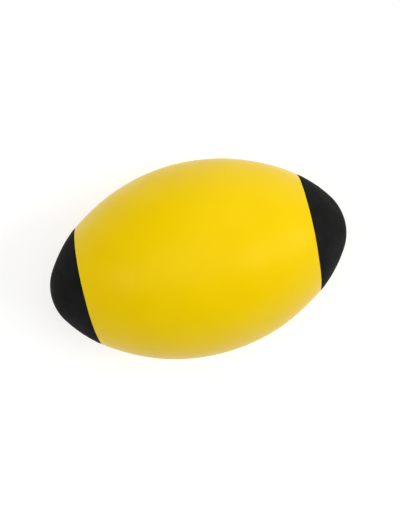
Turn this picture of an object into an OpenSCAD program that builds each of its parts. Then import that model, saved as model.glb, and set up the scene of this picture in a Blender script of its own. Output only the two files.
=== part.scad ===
// Rugby-shaped foam stress ball. One moulding of soft foam with its own dense
// skin, a yellow colour coat over all of it, and a black coat on each end.
// The origin is the ball's centre. The long axis lies along X and +Z is up.

/* [Ball] */
// Length over both black ends
ball_length = 90; // [80:0.5:100]
// Diameter at the waist, over the yellow coat
ball_diameter = 57.8; // [54:0.2:62]
// Radius of the blunt nose at each end
nose_radius = 14.6; // [12:0.1:18]
// Flank's radius, as a multiple of the single arc that would run from waist to nose
flank_flatness = 1.034; // [1:0.002:1.04]
// Share of that single arc's turn after which the flank gives way to the shoulder
flank_share = 0.65; // [0.5:0.01:0.66]

/* [Layers] */
// Thickness of the dense skin that the foam grows against the mould
skin_thickness = 1.4; // [0.8:0.1:3]
// Thickness of the yellow colour coat
yellow_thickness = 0.3; // [0.2:0.05:0.5]
// Thickness of the black coat sprayed over the yellow one
black_thickness = 0.12; // [0.1:0.01:0.2]

/* [Black ends] */
// Distance from the ball's centre to the edge of each black end
black_start = 33.2; // [32:0.1:37]
// Angle by which the left end's edge is out of square with the long axis
left_skew = 1.9; // [0:0.1:5]
// Angle by which the right end's edge is out of square, turned the same way
right_skew = 3.3; // [0:0.1:5]

/* [Hidden] */
$fn = 120;

// Depths below the outside of the black coat, which is depth 0
yellow_depth = black_thickness;
skin_depth = yellow_depth + yellow_thickness;
core_depth = skin_depth + skin_thickness;

half_length = ball_length / 2;
half_width = ball_diameter / 2 + black_thickness;
reach = ball_length; // past every side of the ball

// Each quarter of the outline is three arcs that run into each other: flank,
// shoulder and nose. A point is [distance from the axis, distance along it].
function along(angle) = [cos(angle), sin(angle)];

nose_centre = [0, half_length - nose_radius];

// The one arc that is square to the waist and touches the nose
single_radius = (nose_centre * nose_centre + half_width * half_width - nose_radius * nose_radius)
    / (2 * (half_width - nose_radius));
single_turn = atan2(nose_centre[1], single_radius - half_width);

flank_radius = flank_flatness * single_radius;
flank_centre = [half_width - flank_radius, 0];
flank_end_way = along(flank_share * single_turn);
flank_end = flank_centre + flank_radius * flank_end_way;

// The shoulder's radius is the one that touches both of the other arcs
from_nose = flank_end - nose_centre;
shoulder_radius = (from_nose * from_nose - nose_radius * nose_radius)
    / (2 * (flank_end_way * from_nose - nose_radius));
shoulder_centre = flank_end - shoulder_radius * flank_end_way;
shoulder_end_way = (nose_centre - shoulder_centre) / norm(nose_centre - shoulder_centre);

// The part of a circle that lies between two distances along the axis
module arc_band(centre, radius, low, high) {
    intersection() {
        translate(centre) circle(r = radius);
        translate([0, low]) square([reach, high - low]);
    }
}

// Half of the ball's section at a depth below its outside, axis along Y.
// Every arc keeps its centre, so two depths are the same distance apart all over.
// The nose's circle lies in the shoulder's, and that in the flank's, so each band
// starts at the waist and ends where the next, narrower one takes over.
module half_section(depth) {
    flank_r = flank_radius - depth;
    shoulder_r = shoulder_radius - depth;
    flank_stop = (flank_centre + flank_r * flank_end_way)[1];
    shoulder_stop = (shoulder_centre + shoulder_r * shoulder_end_way)[1];
    arc_band(flank_centre, flank_r, -flank_stop, flank_stop);
    for (side = [0, 1]) mirror([0, side]) {
        arc_band(shoulder_centre, shoulder_r, 0, shoulder_stop);
        arc_band(nose_centre, nose_radius - depth, 0, reach);
    }
}

// Turns half sections about the long axis and lays them along X
module turned() {
    rotate([0, 90, 0]) rotate_extrude() children();
}

// A closed skin between two depths
module layer(outer_depth, inner_depth) {
    turned() difference() {
        half_section(outer_depth);
        half_section(inner_depth);
    }
}

// One end of the ball beyond its masked edge. side is 1 for +X and -1 for -X.
module beyond_mask(side, skew) {
    rotate([0, 0, -skew])
        translate([side * (black_start * cos(skew) + reach / 2), 0, 0])
            cube(reach, center = true);
}

module foam_core() {
    color("#efe6c8") turned() half_section(core_depth);
}

module integral_skin() {
    color("#e8d27a") layer(skin_depth, core_depth);
}

module yellow_coat() {
    color("#f7d010") layer(yellow_depth, skin_depth);
}

module black_end(side, skew) {
    color("#1d1d1c") intersection() {
        layer(0, yellow_depth);
        beyond_mask(side, skew);
    }
}

foam_core();
integral_skin();
yellow_coat();
black_end(-1, left_skew);  // black_end_left
black_end(1, right_skew);  // black_end_right
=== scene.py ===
import math

import bmesh
import bpy
import numpy as np
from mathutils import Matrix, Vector, noise


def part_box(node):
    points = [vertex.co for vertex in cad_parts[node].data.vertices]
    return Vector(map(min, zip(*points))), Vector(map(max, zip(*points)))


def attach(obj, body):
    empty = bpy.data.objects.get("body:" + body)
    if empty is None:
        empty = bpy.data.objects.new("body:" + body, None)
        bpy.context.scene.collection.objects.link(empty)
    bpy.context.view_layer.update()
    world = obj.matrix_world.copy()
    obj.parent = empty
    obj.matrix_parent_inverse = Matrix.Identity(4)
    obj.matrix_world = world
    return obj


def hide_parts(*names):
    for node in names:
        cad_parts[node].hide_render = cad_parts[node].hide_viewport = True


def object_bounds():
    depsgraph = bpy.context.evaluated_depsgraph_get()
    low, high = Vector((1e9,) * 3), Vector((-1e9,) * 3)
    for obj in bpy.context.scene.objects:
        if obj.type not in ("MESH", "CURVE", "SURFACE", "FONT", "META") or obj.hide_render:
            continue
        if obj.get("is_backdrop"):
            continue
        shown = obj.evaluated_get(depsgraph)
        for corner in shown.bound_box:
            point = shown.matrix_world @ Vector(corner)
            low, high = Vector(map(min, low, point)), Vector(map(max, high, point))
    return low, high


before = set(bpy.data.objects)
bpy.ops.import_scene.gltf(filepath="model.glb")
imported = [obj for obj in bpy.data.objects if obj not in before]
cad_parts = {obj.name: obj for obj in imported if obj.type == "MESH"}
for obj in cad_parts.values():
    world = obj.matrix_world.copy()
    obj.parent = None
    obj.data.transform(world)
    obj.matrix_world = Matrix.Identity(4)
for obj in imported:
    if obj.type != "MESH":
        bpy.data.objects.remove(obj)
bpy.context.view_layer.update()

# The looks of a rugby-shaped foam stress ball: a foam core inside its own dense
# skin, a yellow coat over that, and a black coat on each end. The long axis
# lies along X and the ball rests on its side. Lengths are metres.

MM = 0.001

# ---------------------------------------------------------------- dimensions

# The upper corner of each layer's box in the CAD model
YELLOW_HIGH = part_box("yellow_coat")[1]
BLACK_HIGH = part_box("black_end_right")[1]
SKIN_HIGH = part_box("integral_skin")[1]
CORE_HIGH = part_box("foam_core")[1]

# Depths below the outside of the black coat, which is depth 0
YELLOW_DEPTH = BLACK_HIGH.x - YELLOW_HIGH.x
SKIN_DEPTH = BLACK_HIGH.x - SKIN_HIGH.x
CORE_DEPTH = BLACK_HIGH.x - CORE_HIGH.x

HALF_LENGTH = BLACK_HIGH.x
HALF_WIDTH = YELLOW_HIGH.z + YELLOW_DEPTH
NOSE_RADIUS = 14.6 * MM
FLANK_FLATNESS = 1.034  # the flank's radius over that of one arc from waist to nose
FLANK_SHARE = 0.65  # share of that one arc's turn that the flank takes

# Each black end: its side, 1 for +X and -1 for -X, how far its edge is out of square,
# and how much nearer its tip that edge is at the ball's sides than on top
BLACK_ENDS = {
    "left": (-1, math.radians(1.9), -0.12 * MM),
    "right": (1, math.radians(3.3), 0.3 * MM),
}
BLACK_START = 33.2 * MM  # from the ball's centre to each black end's edge
EDGE_THICKNESS = 0.02 * MM  # the black coat's thickness right at its edge
EDGE_FADE = 1.2 * MM  # how far from the edge the coat reaches its full thickness
EDGE_WAVE_HEIGHT = 0.05 * MM
EDGE_WAVE_PITCH = 2.5 * MM
EDGE_SPARE = 4 * MM  # before the cut, a black end's mesh starts this much nearer the waist
EDGE_SNAP = 0.01 * MM  # points this near to the cut are taken to lie on it

COAT_GRID = 112  # squares along each side of the six patches of the outside
INNER_GRID = 40  # the same for surfaces that are sealed inside
SEAM_SHARE = 0.05  # share of a half patch, next to the seam, where rows are closer
SEAM_EXTRA = 3.5  # rows are 1 + this many times as close at the seam itself

OUTLINE_SAMPLES = 2001  # points that a curve is sampled at before it is looked up
STEP_SAMPLES = 4001
SAME_DIGITS = 9  # two points of a patch are one if they agree to this many decimals
ROUNDING = 1e-9  # allows for rounding where two arcs meet
TINY = 1e-12  # keeps a division by a distance from the axis away from 0


# ------------------------------------------------------------------- outline

def outline():
    """The arcs of a quarter outline, waist to tip: (centre, radius, normal's angle at
    the end). A point is (along the axis, away from it), and 0 is square to the axis."""
    nose = np.array([HALF_LENGTH - NOSE_RADIUS, 0.0])
    single = (nose @ nose + HALF_WIDTH**2 - NOSE_RADIUS**2) / (2 * (HALF_WIDTH - NOSE_RADIUS))
    single_turn = math.atan2(nose[0], single - HALF_WIDTH)
    flank_radius = FLANK_FLATNESS * single
    flank_turn = FLANK_SHARE * single_turn
    flank = np.array([0.0, HALF_WIDTH - flank_radius])
    way = np.array([math.sin(flank_turn), math.cos(flank_turn)])
    end = flank + flank_radius * way
    gap = end - nose
    shoulder_radius = (gap @ gap - NOSE_RADIUS**2) / (2 * (way @ gap - NOSE_RADIUS))
    shoulder = end - shoulder_radius * way
    shoulder_turn = math.atan2(*(nose - shoulder))
    return [
        (flank, flank_radius, flank_turn),
        (shoulder, shoulder_radius, shoulder_turn),
        (nose, NOSE_RADIUS, math.pi / 2),
    ]


ARCS = outline()


def turn_at(share):
    """The normal's angle at a share of the way from the waist, 0, to the tip, 1."""
    turns = np.array([0.0] + [turn for _, _, turn in ARCS])
    run = np.concatenate([[0.0], np.cumsum(np.diff(turns) * [r for _, r, _ in ARCS])])
    return np.interp(share, run / run[-1], turns)


def on_outline(turn):
    """Points (along, away) on the quarter outline where the normal has these angles."""
    way = np.stack([np.sin(turn), np.cos(turn)], axis=1)
    points = np.zeros_like(way)
    start = -1.0
    for centre, radius, end in ARCS:
        mine = (turn > start) & (turn <= end + ROUNDING)
        points[mine] = centre + radius * way[mine]
        start = end
    return points


def radius_at(along):
    """The smooth ball's radius at a distance from its centre along the axis."""
    quarter = on_outline(np.linspace(0, math.pi / 2, OUTLINE_SAMPLES))
    return np.interp(along, quarter[:, 0], quarter[:, 1])


def normals_at(points):
    """Unit normals of the smooth ball at points that lie on it."""
    along, side = np.abs(points[:, 0]), np.hypot(points[:, 1], points[:, 2])
    turn = np.zeros(len(points))
    low = 0.0
    for centre, radius, end in ARCS:
        mine = along >= low
        turn[mine] = np.arctan2(along[mine] - centre[0], side[mine] - centre[1])
        low = centre[0] + radius * math.sin(end)
    across = points[:, 1:] / np.maximum(side, TINY)[:, None]
    return np.column_stack([np.sign(points[:, 0]) * np.sin(turn), np.cos(turn)[:, None] * across])


# -------------------------------------------------------------------- relief

WAVE_HEIGHT = 0.13 * MM
WAVE_PITCH = 13 * MM
PEEL_HEIGHT = 0.012 * MM
PEEL_PITCH = 1.9 * MM

# The mould's parting line, level round the ball's middle. It wanders up and down, and
# its height varies about a usual share of SEAM_HEIGHT.
SEAM_HEIGHT = 0.05 * MM
SEAM_WIDTH = 0.28 * MM
SEAM_WANDER = 0.08 * MM
SEAM_WANDER_PITCH = 9 * MM
SEAM_USUAL = 0.7
SEAM_VARIES = 0.6
SEAM_VARIES_PITCH = 6 * MM

# Shallow pinholes where a gas bubble lay under the coat, each darkened towards its middle by
# painted shade.
# Each one is its place along X, its angle about X from the top towards the far side,
# and its radius and depth.
PINHOLES = [
    (-9.2 * MM, math.radians(-30.5), 0.45 * MM, 0.09 * MM),
    (-18.5 * MM, math.radians(-55.6), 0.40 * MM, 0.06 * MM),
    (25.0 * MM, math.radians(152), 0.38 * MM, 0.07 * MM),
    (-4.0 * MM, math.radians(121), 0.32 * MM, 0.06 * MM),
    (-27.5 * MM, math.radians(176), 0.42 * MM, 0.08 * MM),
    (13.5 * MM, math.radians(-163), 0.35 * MM, 0.05 * MM),
    (29.0 * MM, math.radians(-118), 0.32 * MM, 0.06 * MM),
    (-15.0 * MM, math.radians(-136), 0.38 * MM, 0.07 * MM),
    (7.0 * MM, math.radians(104), 0.30 * MM, 0.05 * MM),
]
LIP_HEIGHT = 0.12  # of the raised lip round a pinhole, as a share of the depth
LIP_PLACE = 1.7  # how far out the lip is, in pinhole radii
LIP_WIDTH = 0.5
PINHOLE_REACH = 1.3 * MM  # the mesh is finer this near to each one
PINHOLE_CUTS = 3  # how many cuts each edge gets there


def smooth_noise(points, pitch, seed):
    """Soft noise from about -1 to 1 at each point, with lumps about pitch apart."""
    shift = Vector((seed, -seed, 2 * seed))
    return np.array([noise.noise(Vector(p) / pitch + shift) for p in points])


def relief(points):
    """How far the surface stands out from the smooth ball, as the foam left the mould."""
    waves = WAVE_HEIGHT * smooth_noise(points, WAVE_PITCH, seed=3.1)
    peel = PEEL_HEIGHT * smooth_noise(points, PEEL_PITCH, seed=7.7)
    wander = SEAM_WANDER * smooth_noise(points, SEAM_WANDER_PITCH, seed=5.3)
    strength = SEAM_USUAL + SEAM_VARIES * smooth_noise(points, SEAM_VARIES_PITCH, seed=1.9)
    seam = SEAM_HEIGHT * strength * np.exp(-((points[:, 2] - wander) / SEAM_WIDTH) ** 2)
    return waves + peel + seam


def pinhole_places():
    """The middle of each pinhole on the smooth ball."""
    places = []
    for along, angle, _, _ in PINHOLES:
        side = radius_at(abs(along))
        places.append((along, side * math.sin(angle), side * math.cos(angle)))
    return np.array(places)


def pinhole_relief(points):
    """How far the pinholes sink in, each inside a low raised lip."""
    height = np.zeros(len(points))
    for place, (_, _, radius, depth) in zip(pinhole_places(), PINHOLES):
        away = np.linalg.norm(points - place, axis=1) / radius
        lip = LIP_HEIGHT * np.exp(-((away - LIP_PLACE) / LIP_WIDTH) ** 2)
        height += depth * (lip - np.exp(-away**2))
    return height


def pinhole_shade(points):
    """How much painted shade each point gets, from 1 in the middle of a pinhole to 0 outside it.
    """
    pit_shade = np.zeros(len(points))
    for place, (_, _, radius, _) in zip(pinhole_places(), PINHOLES):
        away = np.linalg.norm(points - place, axis=1) / radius
        pit_shade = np.maximum(pit_shade, np.exp(-away**2))
    return pit_shade


# -------------------------------------------------------------------- meshes

def grid_steps(count, extra):
    """count + 1 places from -1 to 1, 1 + extra times as close together near 0."""
    fine = np.linspace(-1, 1, STEP_SAMPLES)
    density = 1 + extra * np.exp(-(fine / SEAM_SHARE) ** 2)
    run = np.cumsum(density) - density / 2
    return np.interp(np.linspace(run[0], run[-1], count + 1), run, fine)


def patch_sphere(count):
    """Unit directions and quads of six square patches that close round a sphere.
    Rows are closer together near the plane z = 0, where the mould's parting line lies."""
    plain = np.tan(grid_steps(count, 0) * math.pi / 4)
    bunched = np.tan(grid_steps(count, SEAM_EXTRA) * math.pi / 4)
    index, points, faces = {}, [], []

    def vertex(p):
        """The number of the point at p, which is added if it is new."""
        key = tuple(np.round(p, SAME_DIGITS))
        if key not in index:
            index[key] = len(points)
            points.append(p)
        return index[key]

    for axis in range(3):
        u_axis, v_axis = (axis + 1) % 3, (axis + 2) % 3
        u_steps = bunched if u_axis == 2 else plain
        v_steps = bunched if v_axis == 2 else plain
        for side in (-1, 1):
            rows = []
            for u in u_steps:
                row = []
                for v in v_steps:
                    p = [0.0, 0.0, 0.0]
                    p[axis], p[u_axis], p[v_axis] = side, u, v
                    row.append(vertex(tuple(p)))
                rows.append(row)
            for i in range(count):
                for j in range(count):
                    quad = [rows[i][j], rows[i + 1][j], rows[i + 1][j + 1], rows[i][j + 1]]
                    faces.append(quad if side > 0 else quad[::-1])
    directions = np.array(points)
    return directions / np.linalg.norm(directions, axis=1)[:, None], np.array(faces)


def ball_surface(count):
    """Points of the smooth ball at depth 0, their normals, and quads."""
    ways, faces = patch_sphere(count)
    share = 1 - np.arccos(np.clip(ways[:, 0], -1, 1)) * 2 / math.pi
    turn = turn_at(np.abs(share))
    places = on_outline(turn)
    side = np.hypot(ways[:, 1], ways[:, 2])
    across = ways[:, 1:] / np.maximum(side, TINY)[:, None]
    sign = np.sign(share)
    points = np.column_stack([sign * places[:, 0], places[:, 1:] * across])
    normals = np.column_stack([sign * np.sin(turn), np.cos(turn)[:, None] * across])
    return points, normals, faces


def open_mesh(points, faces):
    """A mesh that bmesh can cut."""
    cut = bmesh.new()
    corners = [cut.verts.new(p) for p in points]
    for face in faces:
        cut.faces.new([corners[i] for i in face])
    cut.verts.index_update()
    return cut


def points_and_faces(cut):
    """The points and faces of a mesh after it was cut."""
    cut.verts.index_update()
    points = np.array([v.co for v in cut.verts])
    faces = [[v.index for v in f.verts] for f in cut.faces]
    return points, faces


def finer_near(surface, places):
    """The surface with the quads near some places cut finer."""
    points, _, faces = surface
    near = np.full(len(points), False)
    for place in places:
        near |= np.linalg.norm(points - place, axis=1) < PINHOLE_REACH
    cut = open_mesh(points, faces)
    edges = [e for e in cut.edges if near[e.verts[0].index] and near[e.verts[1].index]]
    bmesh.ops.subdivide_edges(cut, edges=edges, cuts=PINHOLE_CUTS, use_grid_fill=True)
    points, faces = points_and_faces(cut)
    cut.free()
    return points, normals_at(points), faces


def make_piece(name, points, faces):
    """An object of this name with a smoothly shaded mesh."""
    mesh = bpy.data.meshes.new(name)
    mesh.from_pydata([tuple(p) for p in points], [], [tuple(int(i) for i in f) for f in faces])
    mesh.polygons.foreach_set("use_smooth", [True] * len(mesh.polygons))
    mesh.update()
    piece = bpy.data.objects.new(name, mesh)
    bpy.context.scene.collection.objects.link(piece)
    return piece


def at_depth(points, normals, heights, depth):
    """Points of the smooth ball moved out by their heights and in by a depth."""
    return points + normals * (heights - depth)[:, None]


def shell_piece(name, outer, outer_depth, inner, inner_depth, marks=0.0):
    """A closed layer: an outside, with small marks of its own, and an inside."""
    points_out, normals_out, faces_out = outer
    points_in, normals_in, faces_in = inner
    outside = at_depth(points_out, normals_out, relief(points_out) + marks, outer_depth)
    inside = at_depth(points_in, normals_in, relief(points_in), inner_depth)
    faces = list(faces_out) + [[i + len(outside) for i in f[::-1]] for f in faces_in]
    return make_piece(name, np.concatenate([outside, inside]), faces)


def store_pit_shade(piece, pit_shade):
    """Stores the painted pinhole shade on the piece's first points, where its material reads it.
    """
    amounts = np.zeros(len(piece.data.vertices))
    amounts[:len(pit_shade)] = pit_shade
    piece.data.attributes.new("pit_shade", "FLOAT", "POINT").data.foreach_set("value", amounts)


def edge_stray(points, bow):
    """How far along X a black end's edge strays from the flat cut of its mask. A bow
    is shared out half and half between the sides and the top."""
    bowed = bow * ((points[:, 1] / radius_at(BLACK_START)) ** 2 - 0.5)
    waves = EDGE_WAVE_HEIGHT * smooth_noise(points * [0, 1, 1], EDGE_WAVE_PITCH, seed=4.4)
    return bowed + waves


def cap_surface(surface, side, skew, bow):
    """The part of the ball beyond one mask: its points, its faces, the point pairs
    along its edge, and each point's distance from the mask."""
    points, _, faces = surface
    near = side * points[:, 0] > BLACK_START - EDGE_SPARE
    used, numbered = np.unique(faces[near[faces].all(axis=1)], return_inverse=True)
    points = points[used]
    points[:, 0] -= edge_stray(points, side * bow)
    cut = open_mesh(points, numbered.reshape(-1, 4))
    edge_middle = np.array([side * BLACK_START, 0, 0])
    to_waist = np.array([-side * math.cos(skew), side * math.sin(skew), 0])
    bmesh.ops.bisect_plane(
        cut,
        geom=cut.verts[:] + cut.edges[:] + cut.faces[:],
        dist=EDGE_SNAP,
        plane_co=edge_middle,
        plane_no=to_waist,
        clear_outer=True,
    )
    points, faces = points_and_faces(cut)
    loops = [e.link_loops[0] for e in cut.edges if e.is_boundary]
    rim = [(loop.vert.index, loop.link_loop_next.vert.index) for loop in loops]
    cut.free()
    from_edge = (edge_middle - points) @ to_waist
    points[:, 0] += edge_stray(points, side * bow)
    return points, faces, rim, from_edge


def soft_step(share):
    """0 up to a share of 0, 1 from a share of 1, with soft ends between them."""
    share = np.clip(share, 0, 1)
    return share * share * (3 - 2 * share)


def cap_piece(name, surface, side, skew, bow):
    """A black coat over one end: outside, inside, and the thin rim that joins them."""
    points, faces, rim, from_edge = cap_surface(surface, side, skew, bow)
    normals, heights = normals_at(points), relief(points)
    thinned = (YELLOW_DEPTH - EDGE_THICKNESS) * (1 - soft_step(from_edge / EDGE_FADE))
    outside = at_depth(points, normals, heights, thinned)
    inside = at_depth(points, normals, heights, YELLOW_DEPTH)
    n = len(points)
    faces_in = [[i + n for i in f[::-1]] for f in faces]
    faces_rim = [[b, a, a + n, b + n] for a, b in rim]
    return make_piece(name, np.concatenate([outside, inside]), faces + faces_in + faces_rim)


# ----------------------------------------------------------------- materials

MIX_A, MIX_B, MIX_RESULT = 6, 7, 2  # the colour sockets of a mix node
NOISE_LOW, NOISE_HIGH = 0.3, 0.7  # most of a noise node's values lie between these


class Nodes:
    """Short names for the node calls that every material here makes."""

    def __init__(self, name):
        self.material = bpy.data.materials.new(name)
        self.material.use_nodes = True
        self.tree = self.material.node_tree
        self.shader = self.tree.nodes["Principled BSDF"]
        self.place = self.add("ShaderNodeTexCoord").outputs["Object"]

    def add(self, kind, **settings):
        """A new node with these settings."""
        node = self.tree.nodes.new(kind)
        for key, value in settings.items():
            setattr(node, key, value)
        return node

    def link(self, source, target):
        self.tree.links.new(source, target)

    def noise(self, pitch, detail=2.0):
        """Soft noise from 0 to 1 whose lumps are about pitch across."""
        node = self.add("ShaderNodeTexNoise")
        self.link(self.place, node.inputs["Vector"])
        node.inputs["Scale"].default_value = 1 / pitch
        node.inputs["Detail"].default_value = detail
        return node.outputs["Fac"]

    def cells(self, pitch, feature="F1"):
        """Cells about pitch across: the distance from a point's nearest cell centre, or
        another feature of the cells."""
        node = self.add("ShaderNodeTexVoronoi", feature=feature)
        self.link(self.place, node.inputs["Vector"])
        node.inputs["Scale"].default_value = 1 / pitch
        return node.outputs["Distance"]

    def ramp(self, value, low, high, to_low=0.0, to_high=1.0):
        """value from low to high, spread over to_low to to_high with soft ends."""
        node = self.add("ShaderNodeMapRange", interpolation_type="SMOOTHSTEP")
        self.link(value, node.inputs["Value"])
        node.inputs["From Min"].default_value = low
        node.inputs["From Max"].default_value = high
        node.inputs["To Min"].default_value = to_low
        node.inputs["To Max"].default_value = to_high
        return node.outputs["Result"]

    def uneven(self, span, pitch, detail=2.0):
        """A number that drifts between the two ends of span, in lumps about pitch across."""
        return self.ramp(self.noise(pitch, detail), NOISE_LOW, NOISE_HIGH, *span)

    def mix(self, amount, a, b):
        """A colour between a and b, each a colour or another node's output."""
        node = self.add("ShaderNodeMix", data_type="RGBA")
        self.link(amount, node.inputs["Factor"])
        for socket, colour in ((node.inputs[MIX_A], a), (node.inputs[MIX_B], b)):
            if isinstance(colour, tuple):
                socket.default_value = (*colour, 1)
            else:
                self.link(colour, socket)
        return node.outputs[MIX_RESULT]

    def bump(self, height, distance, strength, over=None):
        """A normal roughened by height, on top of another normal if one is given."""
        node = self.add("ShaderNodeBump")
        node.inputs["Strength"].default_value = strength
        node.inputs["Distance"].default_value = distance
        self.link(height, node.inputs["Height"])
        if over is not None:
            self.link(over, node.inputs["Normal"])
        return node.outputs["Normal"]

    def finish(self, colour, roughness, normal, **constants):
        """Links what varies over the surface and sets what is the same all over it. A
        constant goes by its socket's name, with _ for a space."""
        self.link(colour, self.shader.inputs["Base Color"])
        self.link(roughness, self.shader.inputs["Roughness"])
        self.link(normal, self.shader.inputs["Normal"])
        for key, number in constants.items():
            self.shader.inputs[key.replace("_", " ")].default_value = number
        return self.material


COAT_IOR = 1.45
SKIN_IOR = 1.45
FOAM_IOR = 1.4

# Specular levels, where 0.5 is the shader's usual one
YELLOW_GLOSS = 0.18
BLACK_GLOSS = 0.04
PAPER_GLOSS = 0.0
YELLOW_GLOSS_TINT = (1.0, 0.85, 0.3, 1)  # keeps the soft highlights yellow

# The lowest and highest roughness of each surface
YELLOW_ROUGHNESS = (0.31, 0.37)
BLACK_ROUGHNESS = (0.66, 0.8)
SKIN_ROUGHNESS = (0.6, 0.75)
FOAM_ROUGHNESS = (0.8, 0.95)
PAPER_ROUGHNESS = (0.8, 0.9)

YELLOW = (0.83, 0.57, 0.001)
YELLOW_DEEP = (0.816, 0.556, 0.0)
# Painted shade: the yellow that the middle of each pinhole is darkened to
YELLOW_PIT_SHADE = (0.775, 0.515, 0.0)
BLACK = (0.0085, 0.0085, 0.0083)
BLACK_PALE = (0.0115, 0.0115, 0.0112)
SKIN_TAN = (0.74, 0.58, 0.22)
SKIN_DARK = (0.62, 0.46, 0.15)
FOAM_CREAM = (0.84, 0.76, 0.54)
# Painted shade for the sunken middle of each foam cell
FOAM_PORE_SHADE = (0.48, 0.40, 0.24)
PAPER = (0.59, 0.59, 0.59)
PAPER_PALE = (0.61, 0.61, 0.61)
WHITE = (1, 1, 1, 1)


def sprayed_normal(m):
    """Orange peel with a fine grain over it."""
    peel = m.bump(m.noise(0.9 * MM), distance=0.05 * MM, strength=0.9)
    grain = m.noise(0.22 * MM, detail=1.0)
    return m.bump(grain, distance=0.012 * MM, strength=0.5, over=peel)


def yellow_paint():
    """Satin yellow, with faint blotches and painted shade darkening the pinholes."""
    m = Nodes("satin_yellow_coat")
    blotches = m.ramp(m.noise(11 * MM, detail=4.0), low=0.35, high=0.7)
    clean = m.mix(blotches, YELLOW, YELLOW_DEEP)
    # Painted shade: the pinholes' colour darkens towards their middles, by the stored amount
    pit_shade = m.add("ShaderNodeAttribute", attribute_name="pit_shade").outputs["Fac"]
    colour = m.mix(pit_shade, clean, YELLOW_PIT_SHADE)
    rough = m.uneven(YELLOW_ROUGHNESS, 7 * MM, detail=3.0)
    return m.finish(colour, rough, sprayed_normal(m), IOR=COAT_IOR,
                    Specular_IOR_Level=YELLOW_GLOSS, Specular_Tint=YELLOW_GLOSS_TINT)


def black_paint():
    """Matt black, slightly blotchy."""
    m = Nodes("matt_black_coat")
    colour = m.mix(m.ramp(m.noise(4 * MM, detail=5.0), low=0.4, high=0.75), BLACK, BLACK_PALE)
    rough = m.uneven(BLACK_ROUGHNESS, 7 * MM, detail=3.0)
    return m.finish(colour, rough, sprayed_normal(m), IOR=COAT_IOR,
                    Specular_IOR_Level=BLACK_GLOSS)


def skin_foam():
    """Dense tan foam with fine pits."""
    m = Nodes("dense_foam_skin")
    colour = m.mix(m.ramp(m.noise(5 * MM, detail=4.0), low=0.35, high=0.7), SKIN_TAN, SKIN_DARK)
    pits = m.bump(m.cells(0.5 * MM), distance=0.06 * MM, strength=0.6)
    return m.finish(colour, m.uneven(SKIN_ROUGHNESS, 2 * MM), pits, IOR=SKIN_IOR)


def open_foam():
    """Open foam cells, with pale walls round pores darkened by painted shade."""
    m = Nodes("open_cell_foam")
    from_wall = m.cells(0.7 * MM, feature="DISTANCE_TO_EDGE")
    # Painted shade: the colour darkens away from the cell walls, where the bump sinks in
    colour = m.mix(m.ramp(from_wall, low=0.0, high=0.22), FOAM_CREAM, FOAM_PORE_SHADE)
    height = m.ramp(from_wall, low=0.0, high=0.3, to_low=1.0, to_high=0.0)
    pores = m.bump(height, distance=0.25 * MM, strength=0.9)
    return m.finish(colour, m.uneven(FOAM_ROUGHNESS, 1 * MM), pores, IOR=FOAM_IOR)


def floor_paper():
    """Matt paper lit from behind as well as by the lamps."""
    m = Nodes("floor_paper")
    colour = m.mix(m.noise(60 * MM), PAPER, PAPER_PALE)
    grain = m.bump(m.noise(0.6 * MM), distance=0.02 * MM, strength=0.2)
    return m.finish(colour, m.uneven(PAPER_ROUGHNESS, 4 * MM), grain,
                    Specular_IOR_Level=PAPER_GLOSS, Emission_Color=WHITE,
                    Emission_Strength=FLOOR_GLOW)


# --------------------------------------------------------------------- stage

FLOOR_GLOW = 0.48
FLOOR_RADIUS = 3.0
FLOOR_SIDES = 64
HORIZON = 0.65  # the sky's glow at the horizon, about as bright as the far floor
SKY = 0.1  # the sky's glow higher up
HORIZON_WIDTH = 0.3  # how high the first fades to the second, where 1 is straight up

# Each softbox: the way to it from the ball (right, far, up), how far off it is, its
# width and height, and its power
LIGHTS = {
    "overhead": ((0.0, 0.0, 1.0), 1.3, (1.2, 1.2), 8.0),
    "left": ((-0.75, -0.01, 0.66), 1.3, (0.6, 0.25), 3.0),
    "left_high": ((-0.46, -0.05, 0.89), 1.3, (0.6, 0.3), 1.0),
    "right": ((0.90, -0.12, 0.42), 1.3, (0.6, 0.3), 4.0),
    "right_high": ((0.60, -0.20, 0.78), 1.3, (0.6, 0.3), 4.5),
    "far_right": ((0.45, 0.72, 0.52), 1.3, (1.3, 1.3), 5.0),
}

CAMERA_HEIGHT = 247.7 * MM  # above the ball's centre
CAMERA_TURN = math.radians(14.73)
CAMERA_LENS = 57.5
CAMERA_SENSOR = 36.0
AIM_RIGHT, AIM_DOWN = 0.48 * MM, 0.38 * MM  # in the picture, from the ball's centre


def make_floor(height):
    """A flat, round floor under the ball."""
    ring = [(FLOOR_RADIUS * math.cos(t), FLOOR_RADIUS * math.sin(t), height)
            for t in np.linspace(0, 2 * math.pi, FLOOR_SIDES, endpoint=False)]
    floor = make_piece("floor", ring, [list(range(FLOOR_SIDES))])
    floor.data.materials.append(floor_paper())
    floor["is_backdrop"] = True


def make_light(name, way, distance, sides, power):
    """A softbox that faces the ball."""
    data = bpy.data.lights.new(name, "AREA")
    data.shape = "RECTANGLE"
    data.size, data.size_y = sides
    data.energy = power
    lamp = bpy.data.objects.new(name, data)
    place = Vector(way).normalized()
    lamp.location = place * distance
    lamp.rotation_euler = place.to_track_quat("Z", "Y").to_euler()
    bpy.context.scene.collection.objects.link(lamp)


def make_camera():
    """A camera straight above the ball, looking down and turned about the vertical."""
    data = bpy.data.cameras.new("camera")
    data.lens, data.sensor_width = CAMERA_LENS, CAMERA_SENSOR
    camera = bpy.data.objects.new("camera", data)
    right = Vector((math.cos(CAMERA_TURN), -math.sin(CAMERA_TURN), 0))
    down = Vector((-math.sin(CAMERA_TURN), -math.cos(CAMERA_TURN), 0))
    camera.location = AIM_RIGHT * right + AIM_DOWN * down + Vector((0, 0, CAMERA_HEIGHT))
    camera.rotation_euler = (0, 0, -CAMERA_TURN)
    bpy.context.scene.collection.objects.link(camera)
    bpy.context.scene.camera = camera


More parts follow.
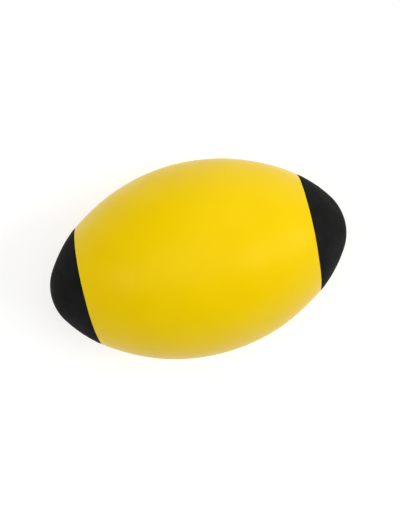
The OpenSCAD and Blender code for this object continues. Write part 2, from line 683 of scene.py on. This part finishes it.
def make_sky():
    """Pale at the horizon, as a studio's curved backdrop is, and darker higher up."""
    world = bpy.data.worlds.new("sky")
    world.use_nodes = True
    tree = world.node_tree
    way = tree.nodes.new("ShaderNodeTexCoord").outputs["Generated"]
    parts = tree.nodes.new("ShaderNodeSeparateXYZ")
    tree.links.new(way, parts.inputs["Vector"])
    fade = tree.nodes.new("ShaderNodeMapRange")
    fade.interpolation_type = "SMOOTHSTEP"
    fade.inputs["From Max"].default_value = HORIZON_WIDTH
    fade.inputs["To Min"].default_value = HORIZON
    fade.inputs["To Max"].default_value = SKY
    tree.links.new(parts.outputs["Z"], fade.inputs["Value"])
    tree.links.new(fade.outputs["Result"], tree.nodes["Background"].inputs["Strength"])
    tree.nodes["Background"].inputs["Color"].default_value = WHITE
    bpy.context.scene.world = world


# ------------------------------------------------------------------ assembly

def dress(piece, material, node):
    """Gives a piece its material, hangs it from the root body, and hides the CAD node it stands
    for.
    """
    piece.data.materials.append(material)
    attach(piece, "root")
    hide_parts(node)


def make_ball():
    """The ball's five pieces, each a closed mesh."""
    coarse = ball_surface(INNER_GRID)
    fine = ball_surface(COAT_GRID)
    pitted = finer_near(fine, pinhole_places())
    marks = pinhole_relief(pitted[0])
    yellow = shell_piece("yellow_coat_skin", pitted, YELLOW_DEPTH, coarse, SKIN_DEPTH, marks)
    # Painted shade in the pinholes, stored for the yellow coat's material
    store_pit_shade(yellow, pinhole_shade(pitted[0]))
    dress(yellow, yellow_paint(), "yellow_coat")
    black = black_paint()
    for name, facts in BLACK_ENDS.items():
        cap = cap_piece(f"black_coat_{name}", fine, *facts)
        dress(cap, black, f"black_end_{name}")
    skin = shell_piece("foam_skin", coarse, SKIN_DEPTH, coarse, CORE_DEPTH)
    dress(skin, skin_foam(), "integral_skin")
    points, normals, faces = coarse
    core = make_piece("foam_filling", at_depth(points, normals, relief(points), CORE_DEPTH), faces)
    dress(core, open_foam(), "foam_core")


bpy.context.scene.view_settings.view_transform = "Standard"
make_camera()
make_ball()
make_floor(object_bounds()[0].z)
make_sky()
for light, facts in LIGHTS.items():
    make_light(light, *facts)
